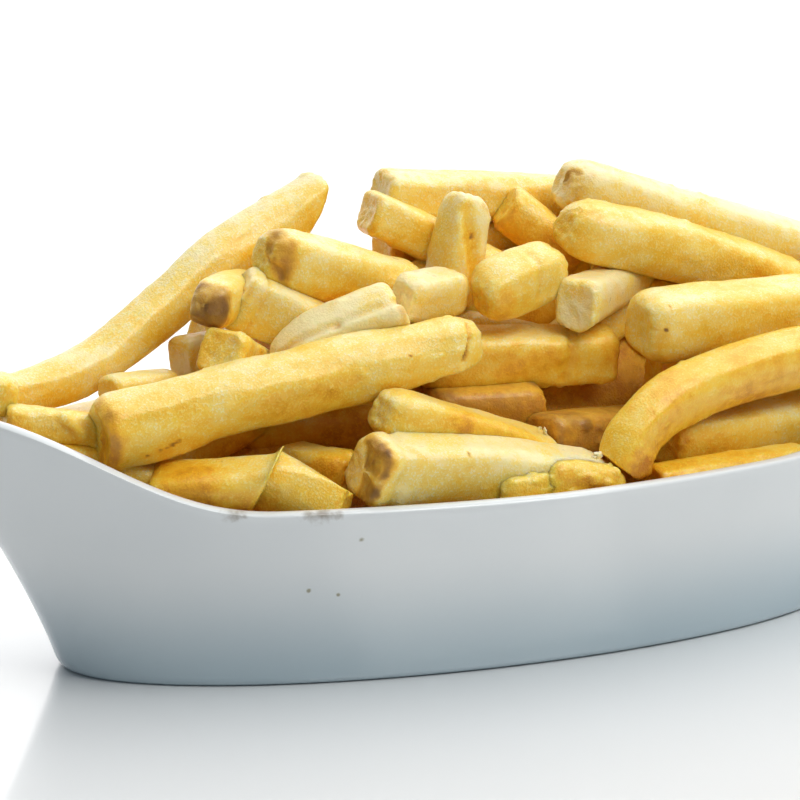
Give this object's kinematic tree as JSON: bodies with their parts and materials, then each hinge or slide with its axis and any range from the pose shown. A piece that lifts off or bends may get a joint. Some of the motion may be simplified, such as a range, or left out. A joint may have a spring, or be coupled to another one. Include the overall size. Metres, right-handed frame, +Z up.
{
  "type": "french fries portion",
  "caption": "Portion of thick-cut french fries heaped in a boat-shaped white porcelain dish with raised pointed ends.",
  "frame": {"origin": "centre of the dish's flat foot, on the surface that it stands on", "axes": "+X along the dish's length, +Z up, -Y the side that the heap faces"},
  "size_m": [0.2112, 0.085, 0.0834],
  "materials": {
    "porcelain": "glossy white glaze",
    "fried_potato": "oily golden fried potato, pale yellow on top and orange brown in the gaps"
  },
  "bodies": {
    "root": {"dish": "porcelain", "fries": "fried_potato"}
  },
  "joints": []
}
